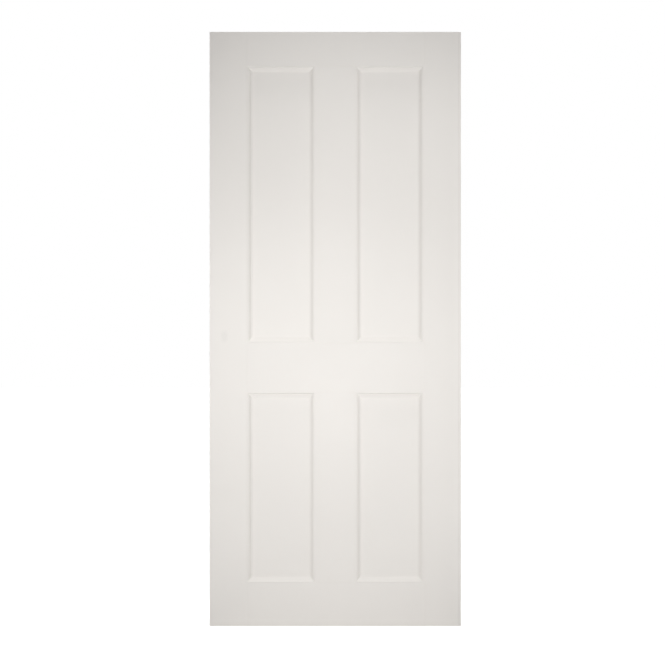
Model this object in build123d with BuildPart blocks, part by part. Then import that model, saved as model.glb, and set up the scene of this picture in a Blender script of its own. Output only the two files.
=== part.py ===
from build123d import *
import os
from dataclasses import dataclass, field

# A four-panel fire door leaf, ready to be hung: a glued and dowelled frame of two stiles, three rails
# and two muntins, with four flat panels held in grooves. Each member of the frame is an engineered
# timber core between two fibreboard skins. Solid wood is glued to its edges: a plain lipping along the
# leaf's long edges, and round the panels a moulding with a groove in it. The rails are scribed over the
# stiles' mouldings and the muntins over the rails', each with a stub tenon that fills the groove.
#
# x runs across the leaf, y through it with the front face at -y, and z up. The origin is at the middle
# of the leaf's foot. All sizes are in millimetres.

# The leaf
leaf_width = 838
leaf_height = 1981
leaf_thickness = 44
edge_rounding = 1  # radius of the long arrises

# Face widths of the frame, from the leaf's edge or a moulding to the next moulding
stile_width = 126
muntin_width = 138
top_rail_height = 116
lock_rail_height = 169
bottom_rail_height = 148
lower_opening_height = 629  # between the bottom rail and the lock rail

# Layers of a member of the frame
skin_thickness = 4
skin_chamfer = 0.3  # eases each skin, which leaves a hairline at every joint on the face
lipping_width = 8

# Moulding round each panel, in section
moulding_width = 17.5
moulding_margin = 4  # flat solid wood between the skin and the moulding
quirk_depth = 1  # small square step where the moulding starts
ogee_radius = 24  # of its round and then of its hollow, which meet halfway
lip_height = 0.6  # square step where the moulding ends, above the panel
groove_depth = 14

# Panels, of a fire-resistant board between two fibreboard faces
panel_face_thickness = 8
panel_core_thickness = 6
panel_play = 0.1  # on each face, in the groove
panel_edge_play = 0.5  # between the panel's edge and its seal
seal_thickness = 2  # intumescent strip that lines the bottom of the groove
seal_margin = 1  # between the seal and each cheek of the groove

# Dowels, two at each end of a rail and one at each end of a muntin
dowel_diameter = 12  # over the ridges between the glue flutes
dowel_length = 100
dowel_chamfer = 1
dowel_fit = 0.1  # radial clearance in the hole
dowel_end_gap = 2  # room for glue at each end of the hole
top_rail_dowel_spacing = 56
lock_rail_dowel_spacing = 96
bottom_rail_dowel_spacing = 80

# Sizes that follow
half_thickness = leaf_thickness / 2
core_thickness = leaf_thickness - 2 * skin_thickness
panel_thickness = 2 * panel_face_thickness + panel_core_thickness
groove_half_width = panel_thickness / 2 + panel_play
groove_floor = moulding_width - groove_depth  # from the shoulder, where the moulding starts
panel_inset = groove_floor + seal_thickness + panel_edge_play
dowel_hole_radius = dowel_diameter / 2 + dowel_fit
dowel_hole_depth = dowel_length / 2 + dowel_end_gap

stile_shoulder = leaf_width / 2 - stile_width  # x, either side of the middle
muntin_shoulder = muntin_width / 2
opening_width = stile_shoulder - muntin_shoulder
opening_middle = (stile_shoulder + muntin_shoulder) / 2
lock_rail_bottom = bottom_rail_height + lower_opening_height
lock_rail_top = lock_rail_bottom + lock_rail_height
top_rail_bottom = leaf_height - top_rail_height
rail_length = 2 * stile_shoulder

LIPPED, MOULDED, BARE = "lipped", "moulded", "bare"
edge_setbacks = {LIPPED: lipping_width, MOULDED: moulding_margin, BARE: 0}


@dataclass
class DowelJoint:
    """The dowels across the line where two members meet. The plane lies on that line, with x along the
    row of dowels and z along each of them."""

    plane: Plane
    count: int = 1
    spacing: float = 0

    def places(self):
        return GridLocations(self.spacing, 0, self.count, 1)


@dataclass
class Member:
    """A stile, rail or muntin. The plane lies at one end, with x across the width, y towards the back of
    the leaf and z along the length. Each edge is a name for its solid wood and how it is finished."""

    name: str
    plane: Plane
    width: float
    length: float
    low_edge: tuple  # at -x
    high_edge: tuple  # at +x
    joints: list = field(default_factory=list)
    scribed_to: list = field(default_factory=list)  # the mouldings that its ends are cut to fit

    @property
    def core_low(self):
        return -self.width / 2 + edge_setbacks[self.low_edge[1]]

    @property
    def core_high(self):
        return self.width / 2 - edge_setbacks[self.high_edge[1]]

    def edge_plane(self, outward):
        """The plane with its origin on one edge and x pointing away from the member."""
        x_dir = self.plane.x_dir * outward
        return Plane(self.plane.origin + x_dir * (self.width / 2), x_dir=x_dir, z_dir=self.plane.z_dir)


def save(piece, name):
    """Labels a finished sub-part and writes it."""
    piece.part.label = name
    export_step(piece.part, f"parts/{name}.step")


def drill(joints):
    """Bores the dowel holes of some joints into the part that is being built."""
    for joint in joints:
        with BuildSketch(joint.plane) as holes:
            with joint.places():
                Circle(dowel_hole_radius)
        extrude(holes.sketch, amount=dowel_hole_depth, both=True, mode=Mode.SUBTRACT)


def scribe(mouldings):
    """Cuts the part that is being built to fit over the mouldings that it meets."""
    for moulding in mouldings:
        add(moulding, mode=Mode.SUBTRACT)


def make_core(member):
    with BuildPart() as core:
        with BuildSketch(member.plane):
            with Locations(((member.core_low + member.core_high) / 2, 0)):
                Rectangle(member.core_high - member.core_low, core_thickness)
        extrude(amount=member.length)
        scribe(member.scribed_to)
        drill(member.joints)
    save(core, f"{member.name}_core")


def make_skins(member):
    for side, outward in (("front", -1), ("back", 1)):
        with BuildPart() as skin:
            with BuildSketch(member.plane):
                middle = (member.core_low + member.core_high) / 2
                with Locations((middle, outward * (half_thickness - skin_thickness / 2))):
                    Rectangle(member.core_high - member.core_low, skin_thickness)
            extrude(amount=member.length)
            scribe(member.scribed_to)
            shown = skin.faces().sort_by(Axis.Y)[0 if outward < 0 else -1]
            chamfer(shown.edges(), skin_chamfer)
        save(skin, f"{member.name}_{side}_skin")


def make_lipping(member, edge, outward):
    with BuildPart() as lipping:
        with BuildSketch(member.edge_plane(outward)) as section:
            Rectangle(lipping_width, leaf_thickness, align=(Align.MAX, Align.CENTER))
            fillet(section.vertices().group_by(Axis.X)[-1], edge_rounding)
        extrude(amount=member.length)
    save(lipping, f"{member.name}_{edge}")


def make_moulding(member, edge, outward):
    """A moulded edge, which runs the member's whole length and is scribed and drilled with it."""
    with BuildPart() as moulding:
        with BuildSketch(member.edge_plane(outward)):
            with BuildLine():
                face = Polyline(
                    (-moulding_margin, 0),
                    (-moulding_margin, half_thickness),
                    (0, half_thickness),
                    (0, half_thickness - quirk_depth),
                )
                ogee_end = Vector(moulding_width, panel_thickness / 2 + lip_height)
                ogee_middle = (face @ 1 + ogee_end) / 2
                RadiusArc(face @ 1, ogee_middle, ogee_radius)
                RadiusArc(ogee_middle, ogee_end, -ogee_radius)
                Polyline(
                    ogee_end,
                    (moulding_width, groove_half_width),
                    (groove_floor, groove_half_width),
                    (groove_floor, 0),
                )
                mirror(about=Plane.XZ)
            make_face()
        extrude(amount=member.length)
        scribe(member.scribed_to)
        drill(member.joints)
    save(moulding, f"{member.name}_{edge}")
    return moulding.part


def make_member(member):
    """Makes all the pieces of a stile, rail or muntin, and gives back its mouldings."""
    make_core(member)
    make_skins(member)
    mouldings = []
    for (edge, finish), outward in ((member.low_edge, -1), (member.high_edge, 1)):
        if finish == LIPPED:
            make_lipping(member, edge, outward)
        elif finish == MOULDED:
            mouldings.append(make_moulding(member, edge, outward))
    return mouldings


def make_dowels(name, joints):
    """One piece for each dowel, a twelve-pointed star in section. The points are the ridges that grip
    the hole and the flutes between them let the glue out."""
    with BuildPart() as dowel:
        with BuildSketch():
            RegularPolygon(dowel_diameter / 2, 6)
            RegularPolygon(dowel_diameter / 2, 6, rotation=30)
        extrude(amount=dowel_length / 2, both=True)
        chamfer(dowel.faces().filter_by(Axis.Z).edges(), dowel_chamfer)
    with BuildPart() as dowels:
        for joint in joints:
            with Locations(joint.plane):
                with joint.places():
                    add(dowel.part)
    save(dowels, f"{name}_dowels")


def make_panel(name, middle_x, bottom, top):
    """One flat panel and the seal round its edge, for the opening between two shoulders."""
    middle = Plane((middle_x, 0, (bottom + top) / 2), x_dir=(1, 0, 0), z_dir=(0, 1, 0))
    opening_height = top - bottom
    width = opening_width - 2 * panel_inset
    height = opening_height - 2 * panel_inset
    layers = (
        ("front_face", -panel_thickness / 2, panel_face_thickness),
        ("fire_core", -panel_core_thickness / 2, panel_core_thickness),
        ("back_face", panel_core_thickness / 2, panel_face_thickness),
    )
    for layer, start, thickness in layers:
        with BuildPart() as board:
            with BuildSketch(middle.offset(start)):
                Rectangle(width, height)
            extrude(amount=thickness)
        save(board, f"{name}_panel_{layer}")
    groove_width = opening_width - 2 * groove_floor
    groove_height = opening_height - 2 * groove_floor
    with BuildPart() as seal:
        with BuildSketch(middle):
            Rectangle(groove_width, groove_height)
            offset(amount=-seal_thickness, kind=Kind.INTERSECTION, mode=Mode.SUBTRACT)
        extrude(amount=groove_half_width - seal_margin, both=True)
    save(seal, f"{name}_panel_seal")


def rail_joints(bottom, top, spacing):
    """The joints of a rail with both stiles, with the dowels centred on the height of its core."""
    height = (bottom + top) / 2
    line = stile_shoulder - groove_floor
    return [
        DowelJoint(Plane((side * line, 0, height), x_dir=(0, 0, 1), z_dir=(1, 0, 0)), 2, spacing)
        for side in (-1, 1)
    ]


def muntin_joint(height):
    """The joint of a muntin with a rail, where the bottom of the rail's groove is at this height."""
    return DowelJoint(Plane((0, 0, height), x_dir=(1, 0, 0), z_dir=(0, 0, 1)))


os.makedirs("parts", exist_ok=True)

# Joints between the members
top_rail_joints = rail_joints(top_rail_bottom + moulding_margin, leaf_height, top_rail_dowel_spacing)
lock_rail_joints = rail_joints(lock_rail_bottom, lock_rail_top, lock_rail_dowel_spacing)
bottom_rail_joints = rail_joints(0, bottom_rail_height - moulding_margin, bottom_rail_dowel_spacing)
stile_joints = top_rail_joints + lock_rail_joints + bottom_rail_joints
upper_muntin_joints = [
    muntin_joint(lock_rail_top + groove_floor),
    muntin_joint(top_rail_bottom - groove_floor),
]
lower_muntin_joints = [
    muntin_joint(bottom_rail_height + groove_floor),
    muntin_joint(lock_rail_bottom - groove_floor),
]

# Stiles, each with its length drawn so that the leaf's edge is at -x and the back of the leaf at +y
stile_middle = (leaf_width - stile_width) / 2
left_stile = Member(
    "left_stile",
    Plane((-stile_middle, 0, 0), x_dir=(1, 0, 0), z_dir=(0, 0, 1)),
    stile_width,
    leaf_height,
    ("lipping", LIPPED),
    ("moulding", MOULDED),
    stile_joints,
)
right_stile = Member(
    "right_stile",
    Plane((stile_middle, 0, leaf_height), x_dir=(-1, 0, 0), z_dir=(0, 0, -1)),
    stile_width,
    leaf_height,
    ("lipping", LIPPED),
    ("moulding", MOULDED),
    stile_joints,
)
stile_mouldings = make_member(left_stile) + make_member(right_stile)


# Rails, drawn from the right stile to the left one, with the top of the leaf at +x
def rail(name, bottom, top, low_edge, high_edge, joints):
    return Member(
        name,
        Plane((stile_shoulder, 0, (bottom + top) / 2), x_dir=(0, 0, 1), z_dir=(-1, 0, 0)),
        top - bottom,
        rail_length,
        low_edge,
        high_edge,
        joints,
        stile_mouldings,
    )


rails = (
    rail(
        "top_rail",
        top_rail_bottom,
        leaf_height,
        ("moulding", MOULDED),
        ("edge", BARE),
        top_rail_joints + upper_muntin_joints,
    ),
    rail(
        "lock_rail",
        lock_rail_bottom,
        lock_rail_top,
        ("lower_moulding", MOULDED),
        ("upper_moulding", MOULDED),
        lock_rail_joints + upper_muntin_joints + lower_muntin_joints,
    ),
    rail(
        "bottom_rail",
        0,
        bottom_rail_height,
        ("edge", BARE),
        ("moulding", MOULDED),
        bottom_rail_joints + lower_muntin_joints,
    ),
)
rail_mouldings = [moulding for member in rails for moulding in make_member(member)]

# Muntins
for name, bottom, top, joints in (
    ("upper_muntin", lock_rail_top, top_rail_bottom, upper_muntin_joints),
    ("lower_muntin", bottom_rail_height, lock_rail_bottom, lower_muntin_joints),
):
    make_member(
        Member(
            name,
            Plane((0, 0, bottom), x_dir=(1, 0, 0), z_dir=(0, 0, 1)),
            muntin_width,
            top - bottom,
            ("left_moulding", MOULDED),
            ("right_moulding", MOULDED),
            joints,
            rail_mouldings,
        )
    )

# Dowels
make_dowels("top_rail", top_rail_joints)
make_dowels("lock_rail", lock_rail_joints)
make_dowels("bottom_rail", bottom_rail_joints)
make_dowels("upper_muntin", upper_muntin_joints)
make_dowels("lower_muntin", lower_muntin_joints)

# Panels
for side, direction in (("left", -1), ("right", 1)):
    make_panel(f"upper_{side}", direction * opening_middle, lock_rail_top, top_rail_bottom)
    make_panel(f"lower_{side}", direction * opening_middle, bottom_rail_height, lock_rail_bottom)
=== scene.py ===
"""Looks for a white primed fire door leaf with four flat panels.

The leaf's solids come from the frame and keep their meshes. This file gives each of them its finish:
sprayed primer on everything that shows, bare timber and board at the head and foot, and the materials of
the pieces inside. It also sets up the studio that the leaf stands in. Sizes are in metres.
"""

import math

import bpy
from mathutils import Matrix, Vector


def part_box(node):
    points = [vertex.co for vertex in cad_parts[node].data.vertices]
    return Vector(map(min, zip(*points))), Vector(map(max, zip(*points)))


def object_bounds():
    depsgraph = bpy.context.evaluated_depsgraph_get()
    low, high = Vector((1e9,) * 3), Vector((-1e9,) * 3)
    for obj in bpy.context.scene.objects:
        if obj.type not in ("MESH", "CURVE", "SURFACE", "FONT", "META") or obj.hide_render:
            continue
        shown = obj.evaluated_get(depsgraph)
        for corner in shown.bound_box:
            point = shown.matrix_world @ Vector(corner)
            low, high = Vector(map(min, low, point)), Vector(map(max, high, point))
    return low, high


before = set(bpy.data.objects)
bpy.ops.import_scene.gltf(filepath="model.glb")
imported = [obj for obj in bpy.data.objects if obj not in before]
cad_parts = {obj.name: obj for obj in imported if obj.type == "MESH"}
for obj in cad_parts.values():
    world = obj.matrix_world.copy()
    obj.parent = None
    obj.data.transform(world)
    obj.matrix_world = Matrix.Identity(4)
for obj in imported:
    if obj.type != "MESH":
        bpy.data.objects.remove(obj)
cad_low, cad_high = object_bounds()

bl_info = {
    "name": "Panelled fire door leaf",
    "version": (1, 0, 0),
    "blender": (4, 5, 0),
    "location": "View3D > Sidebar > Door leaf",
    "description": "Finishes for a primed four-panel fire door leaf and the studio that shows it",
    "category": "Object",
}

LEAF_HEIGHT = cad_high.z - cad_low.z
FACE_DEPTH = cad_high.y  # from the middle of the leaf's thickness to its face

# Mouldings
MOULDING_SWEEP = 0.0175  # from the panel to the outer edge of a moulding's curve
STEEP_START = 0.3  # share of an upright moulding's sweep where its steepest part starts
STEEP_END = 0.7  # and where that ends
QUIRK_START = 0.84  # share of a rail moulding's sweep where its quirk starts

# Sawn ends
CUT_END = 0.0004  # how near to the head or foot a surface lies to count as its cut end
LEVEL_NORMAL = 0.9  # least upright part of the normal of a surface that counts as level
OVERSPRAY_ON_SKIN = 0.0025  # how far primer is blown in over skins, mouldings and lippings
OVERSPRAY_ON_CORE = 0.008  # how far it is blown in over cores
OVERSPRAY_SOLID = 0.2  # share of that reach that it covers fully

# Roughness
PRIMED_PATCHINESS = 0.12  # how much the roughness of primer varies
BARE_PATCHINESS = 0.2  # and that of bare timber and board

# Softwood strips
STRIP_OFFSET = 0.37  # share of the first strip's width left of the leaf's middle, or below its foot
STRIP_SEEDS = (0.13, 5.71, 9.37)  # for the pith's place across and in depth, and for the strip's tone
PITH_ACROSS = 3.2  # how far the piths are spread across, in strip widths
PITH_DEPTH = 0.09  # how far they are spread through the leaf's thickness
RING_WAVER = 0.006
RING_SHIFT = 0.01  # most that a strip's rings are moved outwards
GLUE_LINE = 0.0003  # half of a glue line's width

# Studio
WHITE = (1.0, 1.0, 1.0, 1.0)
FLOOR_PAINT = (0.8, 0.8, 0.8, 1.0)
FLOOR_SIZE = 60.0
FLOOR_GAP = 0.0005  # from the leaf's foot down to the floor
FAR_LAMP_OFF = 7.5  # from the leaf's middle to each far lamp
WING_LAMP_OFF = 1.8  # how far the wing lamps stand in front of the leaf and behind it
WING_LAMP_OUT = 1.7  # how far they stand to each side
WING_AIM_OUT = 0.3  # how far to each side they aim
EDGE_LAMP_OUT = 6.0  # how far to each side the edge lamps stand
SENSOR_WIDTH = 36.0  # of the camera, in millimetres


# Shader expressions


class Value:
    """An output of a shader node. Arithmetic on it adds Math nodes beside that node."""

    def __init__(self, nodes, output):
        self.nodes = nodes
        self.output = output

    def __add__(self, other):
        return self.nodes.math("ADD", self, other)

    __radd__ = __add__

    def __sub__(self, other):
        return self.nodes.math("SUBTRACT", self, other)

    def __rsub__(self, other):
        return self.nodes.math("SUBTRACT", other, self)

    def __mul__(self, other):
        return self.nodes.math("MULTIPLY", self, other)

    __rmul__ = __mul__

    def __truediv__(self, other):
        return self.nodes.math("DIVIDE", self, other)

    def __rtruediv__(self, other):
        return self.nodes.math("DIVIDE", other, self)

    def __pow__(self, exponent):
        return self.nodes.math("POWER", self, exponent)

    def __rpow__(self, base):
        return self.nodes.math("POWER", base, self)

    def __abs__(self):
        return self.nodes.math("ABSOLUTE", self)

    def floor(self):
        return self.nodes.math("FLOOR", self)

    def fraction(self):
        return self.nodes.math("FRACT", self)

    def larger(self, other):
        """The larger of two values."""
        return self.nodes.math("MAXIMUM", self, other)

    def smaller(self, other):
        """The smaller of two values."""
        return self.nodes.math("MINIMUM", self, other)

    def over(self, level):
        """1 above a level, and 0 up to it."""
        return self.nodes.math("GREATER_THAN", self, level)

    def between(self, low, high):
        """Goes smoothly from 0 at low to 1 at high."""
        settings = {"interpolation_type": "SMOOTHSTEP"}
        inputs = {"Value": self, "From Min": low, "From Max": high}
        return self.nodes.node("ShaderNodeMapRange", settings, inputs)

    def swing(self, width):
        """Turns 0 to 1 into minus half of the width to plus half of it."""
        return (self - 0.5) * width


class Nodes:
    """The shader nodes of a material or of the world."""

    def __init__(self, owner):
        owner.use_nodes = True
        self.tree = owner.node_tree
        self.tree.nodes.clear()

    def node(self, kind, settings=None, inputs=None, output=0):
        """Adds a node, with its settings made before its sockets are given their values or links."""
        node = self.tree.nodes.new(kind)
        for setting, value in (settings or {}).items():
            setattr(node, setting, value)
        for name, value in (inputs or {}).items():
            if isinstance(value, Value):
                self.tree.links.new(value.output, node.inputs[name])
            else:
                node.inputs[name].default_value = value
        return Value(self, node.outputs[output]) if node.outputs else None

    def math(self, operation, *values):
        return self.node("ShaderNodeMath", {"operation": operation}, dict(enumerate(values)))

    def outputs(self, value, *names):
        """Several outputs of the node that a value comes from."""
        return tuple(Value(self, value.output.node.outputs[name]) for name in names)

    def seen_directly(self):
        """1 for rays from the camera, and for those that gloss and glass send on."""
        rays = self.node("ShaderNodeLightPath")
        names = ("Is Camera Ray", "Is Glossy Ray", "Is Transmission Ray")
        camera, glossy, through = self.outputs(rays, *names)
        return camera.larger(glossy).larger(through)


class Finish(Nodes):
    """A material whose nodes start from the place on the piece."""

    def __init__(self, name):
        self.material = bpy.data.materials.new(name)
        super().__init__(self.material)
        self.place = self.node("ShaderNodeTexCoord", output="Object")
        self.x, self.y, self.z = self.parts(self.place)

    def parts(self, vector):
        """The three numbers of a vector."""
        split = self.node("ShaderNodeSeparateXYZ", inputs={"Vector": vector})
        return self.outputs(split, "X", "Y", "Z")

    def vector(self, x, y, z):
        return self.node("ShaderNodeCombineXYZ", inputs={"X": x, "Y": y, "Z": z})

    def noise(self, place, size, detail=2.0, roughness=0.5):
        """Soft noise between 0 and 1 with features of about this size."""
        inputs = {"Vector": place, "Scale": 1 / size, "Detail": detail, "Roughness": roughness}
        return self.node("ShaderNodeTexNoise", {"noise_dimensions": "3D"}, inputs)

    def chance(self, seed):
        """A number between 0 and 1 that is the same wherever the seed is."""
        return self.node("ShaderNodeTexWhiteNoise", {"noise_dimensions": "1D"}, {"W": seed})

    def blend(self, factor, below, above):
        """Mixes two colours."""
        settings = {"data_type": "RGBA", "blend_type": "MIX"}
        return self.node("ShaderNodeMix", settings, {0: factor, 6: below, 7: above}, output=2)

    def tint(self, colour, factor):
        """Multiplies a colour by a number."""
        scale = self.vector(factor, factor, factor)
        plain = colour if isinstance(colour, Value) else tuple(colour)[:3]
        return self.node("ShaderNodeVectorMath", {"operation": "MULTIPLY"}, {0: plain, 1: scale})

    def bump(self, height, depth, below=None):
        """Turns a height into a normal, for a relief of this depth on top of the one below."""
        inputs = {"Height": height, "Distance": depth, "Strength": 1.0}
        if below is not None:
            inputs["Normal"] = below
        return self.node("ShaderNodeBump", inputs=inputs)

    def surface(self, colour, roughness, normal, specular):
        """Ends the tree in a Principled shader. Its specular level is the same all over."""
        inputs = {
            "Base Color": colour,
            "Roughness": roughness,
            "Normal": normal,
            "Specular IOR Level": specular,
        }
        shader = self.node("ShaderNodeBsdfPrincipled", inputs=inputs)
        self.node("ShaderNodeOutputMaterial", inputs={"Surface": shader})
        return self.material


def distance(first, second):
    """From the origin of a plane to the place with these two coordinates."""
    return (first**2.0 + second**2.0) ** 0.5


# Pieces of the frame


def dress(node, material):
    """Gives a node of the frame its finish."""
    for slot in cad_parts[node].material_slots:
        slot.material = material


def nodes_ending(*endings):
    return sorted(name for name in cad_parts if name.endswith(endings))


def runs_across(node):
    """True if a piece's length lies along X, as a rail's does."""
    low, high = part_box(node)
    return high[0] - low[0] > high[2] - low[2]


# Layers of the finishes


def cut_end_mask(finish):
    """1 on the sawn head and foot of the leaf, and 0 elsewhere."""
    normal_z = finish.parts(finish.node("ShaderNodeTexCoord", output="Normal"))[2]
    near = abs(finish.z - LEAF_HEIGHT / 2).over(LEAF_HEIGHT / 2 - CUT_END)
    level = abs(normal_z).over(LEVEL_NORMAL)
    return near * level


def overspray_mask(finish, reach):
    """1 where primer blown over the arris covers a sawn end, fading raggedly inwards."""
    ragged = finish.noise(finish.place, size=0.006, detail=4.0)
    inset = FACE_DEPTH - abs(finish.y)
    return 1 - (inset + ragged.swing(reach)).between(reach * OVERSPRAY_SOLID, reach)


def grain_place(finish, across, squeeze):
    """Object coordinates with the grain's direction squeezed, so that noise on them runs with the grain."""
    if across:
        return finish.vector(finish.x * squeeze, finish.y, finish.z)
    return finish.vector(finish.x, finish.y, finish.z * squeeze)


def primer_colour(finish, primer):
    """White primer, with a faint clouding from the spray gun's passes."""
    clouds = finish.noise(finish.place, size=0.22, detail=3.0)
    mottle = finish.noise(finish.place, size=0.018)
    mottling = primer.clouding * 0.4
    shift = clouds.swing(primer.clouding) + mottle.swing(mottling)
    return finish.tint(primer.colour, shift + 1)


def primer_roughness(finish, primer):
    patches = finish.noise(finish.place, size=0.06, detail=3.0)
    return patches.swing(PRIMED_PATCHINESS) + primer.roughness


def primer_relief(finish, primer, below=None):
    """The fine orange peel of a sprayed coat, with smaller specks of dust on it."""
    dust_size = primer.peel_size * 0.25
    dust_depth = primer.peel_depth * 0.15
    peel = finish.noise(finish.place, primer.peel_size)
    dust = finish.noise(finish.place, dust_size, detail=1.0)
    return finish.bump(dust, dust_depth, finish.bump(peel, primer.peel_depth, below))


def moulding_sweep(finish):
    """0 where a moulding meets its panel, rising to 1 at its outer edge, with mitres at the corners."""
    stile_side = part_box("left_stile_moulding")[1][0]
    muntin_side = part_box("upper_muntin_left_moulding")[0][0]
    beside = (abs(finish.x) + stile_side).larger(-muntin_side - abs(finish.x))
    rail_pairs = (
        ("top_rail_moulding", "lock_rail_upper_moulding"),
        ("lock_rail_lower_moulding", "bottom_rail_moulding"),
    )
    beyond = []
    for rail_above, rail_below in rail_pairs:
        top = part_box(rail_above)[0][2]
        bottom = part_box(rail_below)[1][2]
        beyond.append((finish.z - top).larger(bottom - finish.z))
    outside = beside.larger(beyond[0].smaller(beyond[1]))
    return outside / MOULDING_SWEEP


def moulding_relief(finish, primer, across):
    """Sharpens a moulding: an upright one mid-way along its curve, and a rail's just inside its edge."""
    sweep = moulding_sweep(finish)
    if across:
        quirk = sweep.between(QUIRK_START, 1.0) - sweep.between(0.0, QUIRK_START)
        return finish.bump(quirk, primer.quirk_depth)
    shoulders = sweep.between(0.0, STEEP_START) + sweep.between(STEEP_END, 1.0)
    steep = sweep.between(STEEP_START, STEEP_END) - shoulders * 0.5
    return finish.bump(steep, primer.moulding_depth)


def timber_colour(finish, timber, across):
    """Softwood in glued strips, each with its own rings, which darken slowly outwards and end sharply.
    The rings go right through, so sawn ends show arcs and long faces show lines."""
    side = finish.z if across else finish.x
    strips = side / timber.strip_width + STRIP_OFFSET
    strip = strips.floor()
    side_chance, depth_chance, tone_chance = (finish.chance(strip + seed) for seed in STRIP_SEEDS)
    pith_side = (strip + side_chance.swing(PITH_ACROSS)) * timber.strip_width
    pith_depth = depth_chance.swing(PITH_DEPTH)
    waver = finish.noise(grain_place(finish, across, squeeze=0.06), size=0.03, detail=3.0)
    radius = distance(side - pith_side, finish.y - pith_depth) + waver.swing(RING_WAVER)
    ring = ((radius + tone_chance * RING_SHIFT) / timber.ring_spacing).fraction()
    darkening = ring.between(0.35, 0.92)
    ended = ring.between(0.93, 1.0)
    late_wood = darkening * (1 - ended)
    fibre_place = grain_place(finish, across, squeeze=0.02)
    fibres = finish.noise(fibre_place, size=0.0011, detail=3.0, roughness=0.65)
    tone = late_wood * 0.7 + fibres.swing(0.35)
    wood = finish.blend(tone, timber.light, timber.dark)
    glue_line = abs(strips.fraction() - 0.5).over(0.5 - GLUE_LINE / timber.strip_width)
    strip_tone = tone_chance * 0.22 + 0.88
    return finish.tint(finish.tint(wood, strip_tone), 1 - glue_line * 0.45), fibres


def board_colour(finish, colour, speck_size):
    """Pressed board, with the pale and dark specks of its fibres."""
    patch_size = speck_size * 22
    specks = finish.noise(finish.place, speck_size, detail=4.0, roughness=0.7)
    patches = finish.noise(finish.place, patch_size)
    tone = specks.between(0.3, 0.7) * 0.3 + patches.swing(0.16) + 0.85
    return finish.tint(colour, tone), specks


def touch_mark_mask(finish, primer):
    """A faint grey touch mark on the left stile, at the height where a hand takes the edge."""
    ragged = finish.noise(finish.place, size=0.012, detail=3.0).swing(0.5)
    across = (finish.x - primer.mark_x) / primer.mark_width
    along = (finish.z - primer.mark_z) / primer.mark_height
    return 1 - (distance(across, along) + ragged).between(0.25, 1.0)


def lipping_joint_shade_mask(finish, primer):
    """1 along the hairline where a lipping meets its stile's skins, weaker where the primer has filled it.
    The darkening it gives is painted shade of the hairline's groove, which has no geometry, with some dirt in
    the joint.
    """
    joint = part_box("right_stile_lipping")[0][0]
    line = 1 - (abs(finish.x) - joint).between(0.0, primer.joint_width)
    filled = finish.noise(finish.place, size=0.07).between(0.35, 0.65)
    return line * (1 - filled * 0.6)


# Finishes


def primed_fibreboard(primer, boards, touched):
    """Skins: primed on the face, brown fibreboard where the head and foot are sawn."""
    finish = Finish("primed_skin_with_touch_mark" if touched else "primed_skin")
    white = primer_colour(finish, primer)
    if touched:
        white = finish.tint(white, 1 - touch_mark_mask(finish, primer) * primer.mark_strength)
    bare, specks = board_colour(finish, boards.skin, speck_size=0.0006)
    sawn = cut_end_mask(finish) * (1 - overspray_mask(finish, OVERSPRAY_ON_SKIN))
    colour = finish.blend(sawn, white, bare)
    roughness = primer_roughness(finish, primer) * (1 - sawn) + sawn * boards.skin_roughness
    relief = primer_relief(finish, primer, finish.bump(specks * sawn, depth=0.00012))
    return finish.surface(colour, roughness, relief, specular=0.5)


def primed_panel_board(primer):
    """Panel faces: nothing but primer shows, because their edges are in the grooves."""
    finish = Finish("primed_panel")
    colour = primer_colour(finish, primer)
    roughness = primer_roughness(finish, primer)
    return finish.surface(colour, roughness, primer_relief(finish, primer), specular=0.5)


def primed_timber(primer, timber, across, moulded):
    """Mouldings and lippings: the grain telegraphs through the primer, and the sawn ends are bare."""
    shape = "primed_moulding" if moulded else "primed_lipping"
    finish = Finish(shape + ("_across" if across else "_upright"))
    streak_place = grain_place(finish, across, squeeze=0.03)
    streaks = finish.noise(streak_place, size=0.0009, detail=3.0, roughness=0.6)
    bare, fibres = timber_colour(finish, timber, across)
    sawn = cut_end_mask(finish) * (1 - overspray_mask(finish, OVERSPRAY_ON_SKIN))
    white = primer_colour(finish, primer)
    if not moulded:
        # Darkens the lipping joint with painted shade of its groove, and some dirt.
        white = finish.tint(white, 1 - lipping_joint_shade_mask(finish, primer) * primer.joint_shade_strength)
    colour = finish.blend(sawn, white, bare)
    roughness = primer_roughness(finish, primer) * (1 - sawn) + sawn * timber.sawn_roughness
    profile = moulding_relief(finish, primer, across) if moulded else None
    open_grain = fibres * sawn * 3
    grain = finish.bump(streaks + open_grain, primer.grain_depth, profile)
    return finish.surface(colour, roughness, primer_relief(finish, primer, grain), specular=0.5)


def bare_core(timber, primer, across):
    """Cores: planed softwood strips that show only at the leaf's head and foot."""
    finish = Finish("core_timber_across" if across else "core_timber_upright")
    bare, fibres = timber_colour(finish, timber, across)
    overspray = cut_end_mask(finish) * overspray_mask(finish, OVERSPRAY_ON_CORE) * 0.5
    colour = finish.blend(overspray, bare, primer_colour(finish, primer))
    roughness = fibres.swing(BARE_PATCHINESS) + timber.planed_roughness
    return finish.surface(colour, roughness, finish.bump(fibres, depth=0.0002), specular=0.3)


def fire_board(boards):
    """Boards inside the panels: mineral-filled, with pale flakes."""
    finish = Finish("fire_resistant_board")
    colour, specks = board_colour(finish, boards.fire, speck_size=0.0016)
    flakes = finish.noise(finish.place, size=0.0045, detail=1.0).between(0.66, 0.72)
    flaked = finish.blend(flakes * 0.35, colour, boards.flake)
    roughness = specks.swing(BARE_PATCHINESS) + boards.fire_roughness
    return finish.surface(flaked, roughness, finish.bump(specks, depth=0.00025), specular=0.3)


def graphite_strip(inserts):
    """Seals: pressed graphite flakes, dark and slightly shiny."""
    finish = Finish("intumescent_strip")
    flakes = finish.noise(finish.place, size=0.0012, detail=3.0, roughness=0.7)
    shine = flakes.between(0.55, 0.75)
    colour = finish.tint(inserts.seal, shine * 0.9 + 0.75)
    roughness = inserts.seal_roughness - shine * 0.25
    return finish.surface(colour, roughness, finish.bump(flakes, depth=0.00015), specular=0.5)


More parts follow.
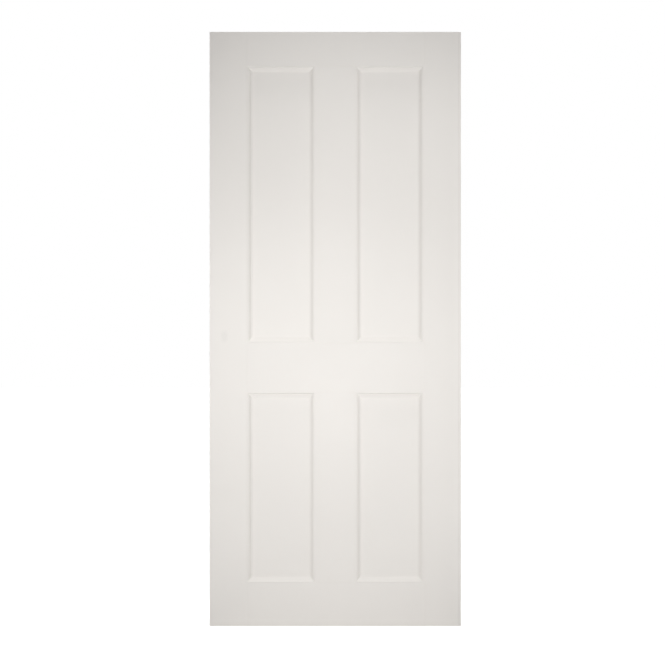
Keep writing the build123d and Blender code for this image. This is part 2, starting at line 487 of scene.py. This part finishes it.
def beech(inserts, across):
    """Dowels: straight-grained beech with its short dark flecks."""
    finish = Finish("dowel_beech_across" if across else "dowel_beech_upright")
    fibre_place = grain_place(finish, across, squeeze=0.03)
    fleck_place = grain_place(finish, across, squeeze=0.22)
    fibres = finish.noise(fibre_place, size=0.0009, detail=3.0, roughness=0.6)
    flecks = finish.noise(fleck_place, size=0.0007, detail=0.0).between(0.66, 0.74)
    colour = finish.tint(inserts.dowel, fibres.swing(0.3) + 1 - flecks * 0.3)
    roughness = fibres.swing(BARE_PATCHINESS) + inserts.dowel_roughness
    return finish.surface(colour, roughness, finish.bump(fibres, depth=0.0001), specular=0.35)


# Lamps


def hang(name, kind, place, aim, settings):
    """Hangs a lamp that points at a place and that the camera doesn't see."""
    data = bpy.data.lights.new(name, kind)
    for setting, value in settings.items():
        setattr(data, setting, value)
    lamp = bpy.data.objects.new(name, data)
    lamp.location = place
    lamp.rotation_euler = (Vector(aim) - Vector(place)).to_track_quat("-Z", "Y").to_euler()
    lamp.visible_camera = False
    bpy.context.scene.collection.objects.link(lamp)


def hang_spot(name, power, place, aim, radius, half_angle):
    """Hangs a spot whose beam fades all the way from its axis to its rim, half_angle degrees away."""
    beam = {"shadow_soft_size": radius, "spot_size": math.radians(2 * half_angle), "spot_blend": 1.0}
    hang(name, "SPOT", place, aim, {**beam, "energy": power})


# Values that a user would change


def colour_property(name, description, default):
    return bpy.props.FloatVectorProperty(
        name=name,
        description=description,
        default=(*default, 1.0),
        size=4,
        min=0.0,
        max=1.0,
        subtype="COLOR",
    )


def length_property(name, description, default):
    return bpy.props.FloatProperty(
        name=name, description=description, default=default, precision=5, unit="LENGTH", subtype="DISTANCE"
    )


def share_property(name, description, default):
    return bpy.props.FloatProperty(
        name=name, description=description, default=default, min=0.0, max=1.0, precision=3, subtype="FACTOR"
    )


def power_property(name, description, default):
    return bpy.props.FloatProperty(
        name=name, description=description, default=default, min=0.0, unit="POWER"
    )


def strength_property(name, description, default):
    return bpy.props.FloatProperty(name=name, description=description, default=default, min=0.0)


class DOOR_PG_primer(bpy.types.PropertyGroup):
    """The sprayed coat on everything that shows"""

    colour: colour_property("Colour", "Warm white of the primer", (0.885, 0.852, 0.811))
    clouding: share_property("Clouding", "Difference between the coat's thin and thick places", 0.012)
    roughness: share_property("Roughness", "How matt the coat is", 0.52)
    peel_size: length_property("Peel size", "Width of the orange peel's bumps", 0.0016)
    peel_depth: length_property("Peel depth", "Height of the orange peel's bumps", 0.000018)
    grain_depth: length_property("Grain depth", "Height of the timber grain that shows through", 0.00003)
    moulding_depth: length_property("Upright relief", "Relief that sharpens the upright mouldings", 0.0012)
    quirk_depth: length_property("Rail relief", "Relief that sharpens the rails' mouldings", 0.0015)
    # Hairline at the lipping joints: its darkening is painted shade of the joint's groove, with some dirt.
    joint_width: length_property("Joint width", "Width of the hairline between lipping and skin", 0.0016)
    joint_shade_strength: share_property("Joint strength", "How much darker that hairline is", 0.12)
    mark_x: length_property("Touch mark across", "Place of the touch mark from the leaf's middle", -0.3695)
    mark_z: length_property("Touch mark up", "Place of the touch mark above the foot", 0.966)
    mark_width: length_property("Touch mark width", "Half of the touch mark's width", 0.017)
    mark_height: length_property("Touch mark height", "Half of the touch mark's height", 0.028)
    mark_strength: share_property("Touch mark strength", "How much darker the touch mark is", 0.045)


class DOOR_PG_timber(bpy.types.PropertyGroup):
    """The bare softwood of cores, lippings and mouldings"""

    light: colour_property("Early wood", "The pale part of each ring", (0.66, 0.46, 0.25))
    dark: colour_property("Late wood", "The dark part of each ring", (0.42, 0.23, 0.10))
    strip_width: length_property("Strip width", "Width of each glued strip", 0.032)
    ring_spacing: length_property("Ring spacing", "Distance from one ring to the next", 0.0028)
    planed_roughness: share_property("Planed roughness", "How matt the planed cores are", 0.72)
    sawn_roughness: share_property("Sawn roughness", "How matt sawn mouldings and lippings are", 0.8)


class DOOR_PG_boards(bpy.types.PropertyGroup):
    """The sheet materials under the primer"""

    skin: colour_property("Fibreboard", "Sawn edge of the skins", (0.36, 0.235, 0.13))
    skin_roughness: share_property("Fibreboard roughness", "How matt the sawn skins are", 0.85)
    fire: colour_property("Fire board", "Mineral-filled board inside the panels", (0.44, 0.38, 0.30))
    flake: colour_property("Flakes", "Pale flakes in the fire board", (0.72, 0.66, 0.55))
    fire_roughness: share_property("Fire board roughness", "How matt the fire board is", 0.82)


class DOOR_PG_inserts(bpy.types.PropertyGroup):
    """The small pieces inside the joints and grooves"""

    seal: colour_property("Seal", "Graphite strip round each panel", (0.022, 0.022, 0.024))
    seal_roughness: share_property("Seal roughness", "How matt the strip is between its flakes", 0.62)
    dowel: colour_property("Dowel", "Beech of the dowels", (0.58, 0.38, 0.21))
    dowel_roughness: share_property("Dowel roughness", "How matt the dowels are", 0.6)


class DOOR_PG_studio(bpy.types.PropertyGroup):
    """Camera and lights"""

    camera_distance: length_property("Camera distance", "From the leaf's face to the camera", 7.0)
    view_height: length_property("View height", "Height of the picture at the leaf's face", 2.217)
    aim_x: length_property("Aim across", "Where the camera's axis meets the face, from its middle", -0.0093)
    aim_z: length_property("Aim height", "Where the camera's axis meets the face, above the foot", 0.9788)
    lamp_height: length_property("Lamp height", "Height of the far, wing and edge lamps", 0.95)
    far_power: power_property("Far lamps", "Narrow beams square on to both faces, from far off", 535.0)
    wing_power: power_property("Wing lamps", "Wide beams from both sides, each on its half of a face", 45.0)
    high_power: power_property("High lamp", "Beam on the top of the front, from its right", 250.0)
    middle_power: power_property("Middle lamp", "Narrow beam on the middle of the front", 150.0)
    low_power: power_property("Low lamp", "Narrow beam on the foot of the front", 46.0)
    floor_power: power_property("Floor lamp", "Beam on the floor in front, which throws some light up", 83.0)
    edge_power: power_property("Edge lamps", "Beams in the plane of the leaf, on its two edges alone", 180.0)
    ceiling: strength_property("Ceiling", "Strength of the light that falls almost straight down", 1.26)
    fill: strength_property("Fill", "Strength of the even light from the studio's walls", 0.115)
    floor_glow: share_property("Floor glow", "White added to the floor where the camera sees it", 0.66)


# Operators


class DOOR_OT_prime_skins(bpy.types.Operator):
    """Primes the skins of the stiles, rails and muntins"""

    bl_idname = "door.prime_skins"
    bl_label = "Prime the skins"

    def execute(self, context):
        scene = context.scene
        plain = primed_fibreboard(scene.door_primer, scene.door_boards, touched=False)
        marked = primed_fibreboard(scene.door_primer, scene.door_boards, touched=True)
        for node in nodes_ending("_skin"):
            dress(node, marked if node == "left_stile_front_skin" else plain)
        return {"FINISHED"}


class DOOR_OT_prime_panels(bpy.types.Operator):
    """Primes the faces of the four panels"""

    bl_idname = "door.prime_panels"
    bl_label = "Prime the panels"

    def execute(self, context):
        white = primed_panel_board(context.scene.door_primer)
        for node in nodes_ending("_panel_front_face", "_panel_back_face"):
            dress(node, white)
        return {"FINISHED"}


class DOOR_OT_prime_timber(bpy.types.Operator):
    """Primes the mouldings and the lippings, with their grain just showing"""

    bl_idname = "door.prime_timber"
    bl_label = "Prime the mouldings"

    def execute(self, context):
        scene = context.scene
        primer, timber = scene.door_primer, scene.door_timber
        whites = {across: primed_timber(primer, timber, across, moulded=True) for across in (False, True)}
        for node in nodes_ending("moulding"):
            dress(node, whites[runs_across(node)])
        lipping = primed_timber(primer, timber, across=False, moulded=False)
        for node in nodes_ending("_lipping"):
            dress(node, lipping)
        return {"FINISHED"}


class DOOR_OT_plane_cores(bpy.types.Operator):
    """Gives the cores their glued softwood strips"""

    bl_idname = "door.plane_cores"
    bl_label = "Plane the cores"

    def execute(self, context):
        primer, timber = context.scene.door_primer, context.scene.door_timber
        timbers = {across: bare_core(timber, primer, across) for across in (False, True)}
        for node in nodes_ending("stile_core", "rail_core", "muntin_core"):
            dress(node, timbers[runs_across(node)])
        return {"FINISHED"}


class DOOR_OT_fit_inserts(bpy.types.Operator):
    """Gives the fire boards, seals and dowels their materials"""

    bl_idname = "door.fit_inserts"
    bl_label = "Fit the inserts"

    def execute(self, context):
        scene = context.scene
        board = fire_board(scene.door_boards)
        for node in nodes_ending("_fire_core"):
            dress(node, board)
        strip = graphite_strip(scene.door_inserts)
        for node in nodes_ending("_seal"):
            dress(node, strip)
        dowels = {across: beech(scene.door_inserts, across) for across in (False, True)}
        for node in nodes_ending("_dowels"):
            dress(node, dowels[node.endswith("rail_dowels")])
        return {"FINISHED"}


class DOOR_OT_build_studio(bpy.types.Operator):
    """Sets up the pale floor, the lights and the camera"""

    bl_idname = "door.build_studio"
    bl_label = "Build the studio"

    def execute(self, context):
        scene, studio = context.scene, context.scene.door_studio
        self.lay_floor(studio)
        self.fill_room(scene, studio)
        self.hang_face_lamps(studio)
        self.hang_front_lamps(studio)
        self.hang_edge_lamps(studio)
        self.hang_ceiling_light(studio)
        self.place_camera(scene, studio)
        scene.view_settings.view_transform = "Standard"
        return {"FINISHED"}

    def lay_floor(self, studio):
        bpy.ops.object.select_all(action="DESELECT")
        bpy.ops.mesh.primitive_plane_add(size=FLOOR_SIZE, location=(0.0, 0.0, -FLOOR_GAP))
        floor = bpy.context.object
        floor.name = "studio_floor"
        bpy.ops.object.transform_apply(location=True, rotation=True, scale=True)
        material = bpy.data.materials.new("studio_floor")
        nodes = Nodes(material)
        paint = nodes.node("ShaderNodeBsdfDiffuse", inputs={"Color": FLOOR_PAINT})
        glow = nodes.node("ShaderNodeEmission", inputs={"Color": WHITE, "Strength": studio.floor_glow})
        lit = nodes.node("ShaderNodeAddShader", inputs={0: paint, 1: glow})
        either = nodes.node("ShaderNodeMixShader", inputs={0: nodes.seen_directly(), 1: paint, 2: lit})
        nodes.node("ShaderNodeOutputMaterial", inputs={"Surface": either})
        floor.data.materials.append(material)

    def fill_room(self, scene, studio):
        """Makes a white backdrop for the camera, and dimmer walls that light the leaf evenly."""
        scene.world = bpy.data.worlds.new("studio_room")
        nodes = Nodes(scene.world)
        walls, backdrop = (
            nodes.node("ShaderNodeBackground", inputs={"Color": WHITE, "Strength": strength})
            for strength in (studio.fill, 1.0)
        )
        either = nodes.node("ShaderNodeMixShader", inputs={0: nodes.seen_directly(), 1: walls, 2: backdrop})
        nodes.node("ShaderNodeOutputWorld", inputs={"Surface": either})

    def hang_face_lamps(self, studio):
        """Hangs the lamps that the front and the back have alike."""
        height = studio.lamp_height
        middle = (0.0, 0.0, height)
        for name, side in (("front", -1), ("back", 1)):
            place = (0.0, side * FAR_LAMP_OFF, height)
            hang_spot(f"{name}_far_lamp", studio.far_power, place, middle, radius=0.1, half_angle=11.5)
            for half in (-1, 1):
                place = (half * WING_LAMP_OUT, side * WING_LAMP_OFF, height)
                aim = (half * WING_AIM_OUT, 0.0, height)
                hang_spot(f"{name}_wing_lamp", studio.wing_power, place, aim, radius=0.25, half_angle=34.0)

    def hang_front_lamps(self, studio):
        """Hangs the lamps that give the front the uneven light of the photograph."""
        hang_spot(
            "high_lamp",
            studio.high_power,
            place=(1.2, -6.5, 1.6),
            aim=(0.15, 0.0, 2.17),
            radius=0.2,
            half_angle=8.0,
        )
        hang_spot(
            "middle_lamp",
            studio.middle_power,
            place=(0.0, -6.0, 0.9),
            aim=(-0.04, 0.0, 0.99),
            radius=0.2,
            half_angle=5.5,
        )
        hang_spot(
            "low_lamp",
            studio.low_power,
            place=(0.0, -7.0, 0.5),
            aim=(0.0, 0.0, 0.06),
            radius=0.1,
            half_angle=7.5,
        )
        hang_spot(
            "floor_lamp",
            studio.floor_power,
            place=(0.0, -0.7, 3.2),
            aim=(0.0, -0.9, 0.0),
            radius=0.2,
            half_angle=14.0,
        )

    def hang_edge_lamps(self, studio):
        height = studio.lamp_height
        middle = (0.0, 0.0, height)
        for half in (-1, 1):
            place = (half * EDGE_LAMP_OUT, 0.0, height)
            hang_spot("edge_lamp", studio.edge_power, place, middle, radius=0.01, half_angle=14.0)

    def hang_ceiling_light(self, studio):
        down = {"angle": math.radians(10), "energy": studio.ceiling}
        hang("ceiling_light", "SUN", place=(0.0, -0.6, 6.0), aim=(0.0, -0.18, 0.0), settings=down)

    def place_camera(self, scene, studio):
        data = bpy.data.cameras.new("camera")
        data.sensor_width = SENSOR_WIDTH
        data.lens = SENSOR_WIDTH * studio.camera_distance / studio.view_height
        camera = bpy.data.objects.new("camera", data)
        camera.location = (studio.aim_x, -FACE_DEPTH - studio.camera_distance, studio.aim_z)
        camera.rotation_euler = (math.pi / 2, 0.0, 0.0)
        scene.collection.objects.link(camera)
        scene.camera = camera


class DOOR_PT_leaf(bpy.types.Panel):
    """Lists the values and the steps that finish the door leaf"""

    bl_label = "Door leaf"
    bl_idname = "DOOR_PT_leaf"
    bl_space_type = "VIEW_3D"
    bl_region_type = "UI"
    bl_category = "Door leaf"

    def draw(self, context):
        for name, group in GROUPS.items():
            box = self.layout.box()
            for value in group.__annotations__:
                box.prop(getattr(context.scene, name), value)
        for operator in OPERATORS:
            self.layout.operator(operator.bl_idname)


GROUPS = {
    "door_primer": DOOR_PG_primer,
    "door_timber": DOOR_PG_timber,
    "door_boards": DOOR_PG_boards,
    "door_inserts": DOOR_PG_inserts,
    "door_studio": DOOR_PG_studio,
}
OPERATORS = (
    DOOR_OT_prime_skins,
    DOOR_OT_prime_panels,
    DOOR_OT_prime_timber,
    DOOR_OT_plane_cores,
    DOOR_OT_fit_inserts,
    DOOR_OT_build_studio,
)
CLASSES = (*GROUPS.values(), *OPERATORS, DOOR_PT_leaf)


def register():
    for cls in CLASSES:
        bpy.utils.register_class(cls)
    for name, group in GROUPS.items():
        setattr(bpy.types.Scene, name, bpy.props.PointerProperty(type=group))


def unregister():
    for name in GROUPS:
        delattr(bpy.types.Scene, name)
    for cls in reversed(CLASSES):
        bpy.utils.unregister_class(cls)


def main():
    register()
    bpy.ops.door.prime_skins()
    bpy.ops.door.prime_panels()
    bpy.ops.door.prime_timber()
    bpy.ops.door.plane_cores()
    bpy.ops.door.fit_inserts()
    bpy.ops.door.build_studio()


if __name__ == "__main__":
    main()
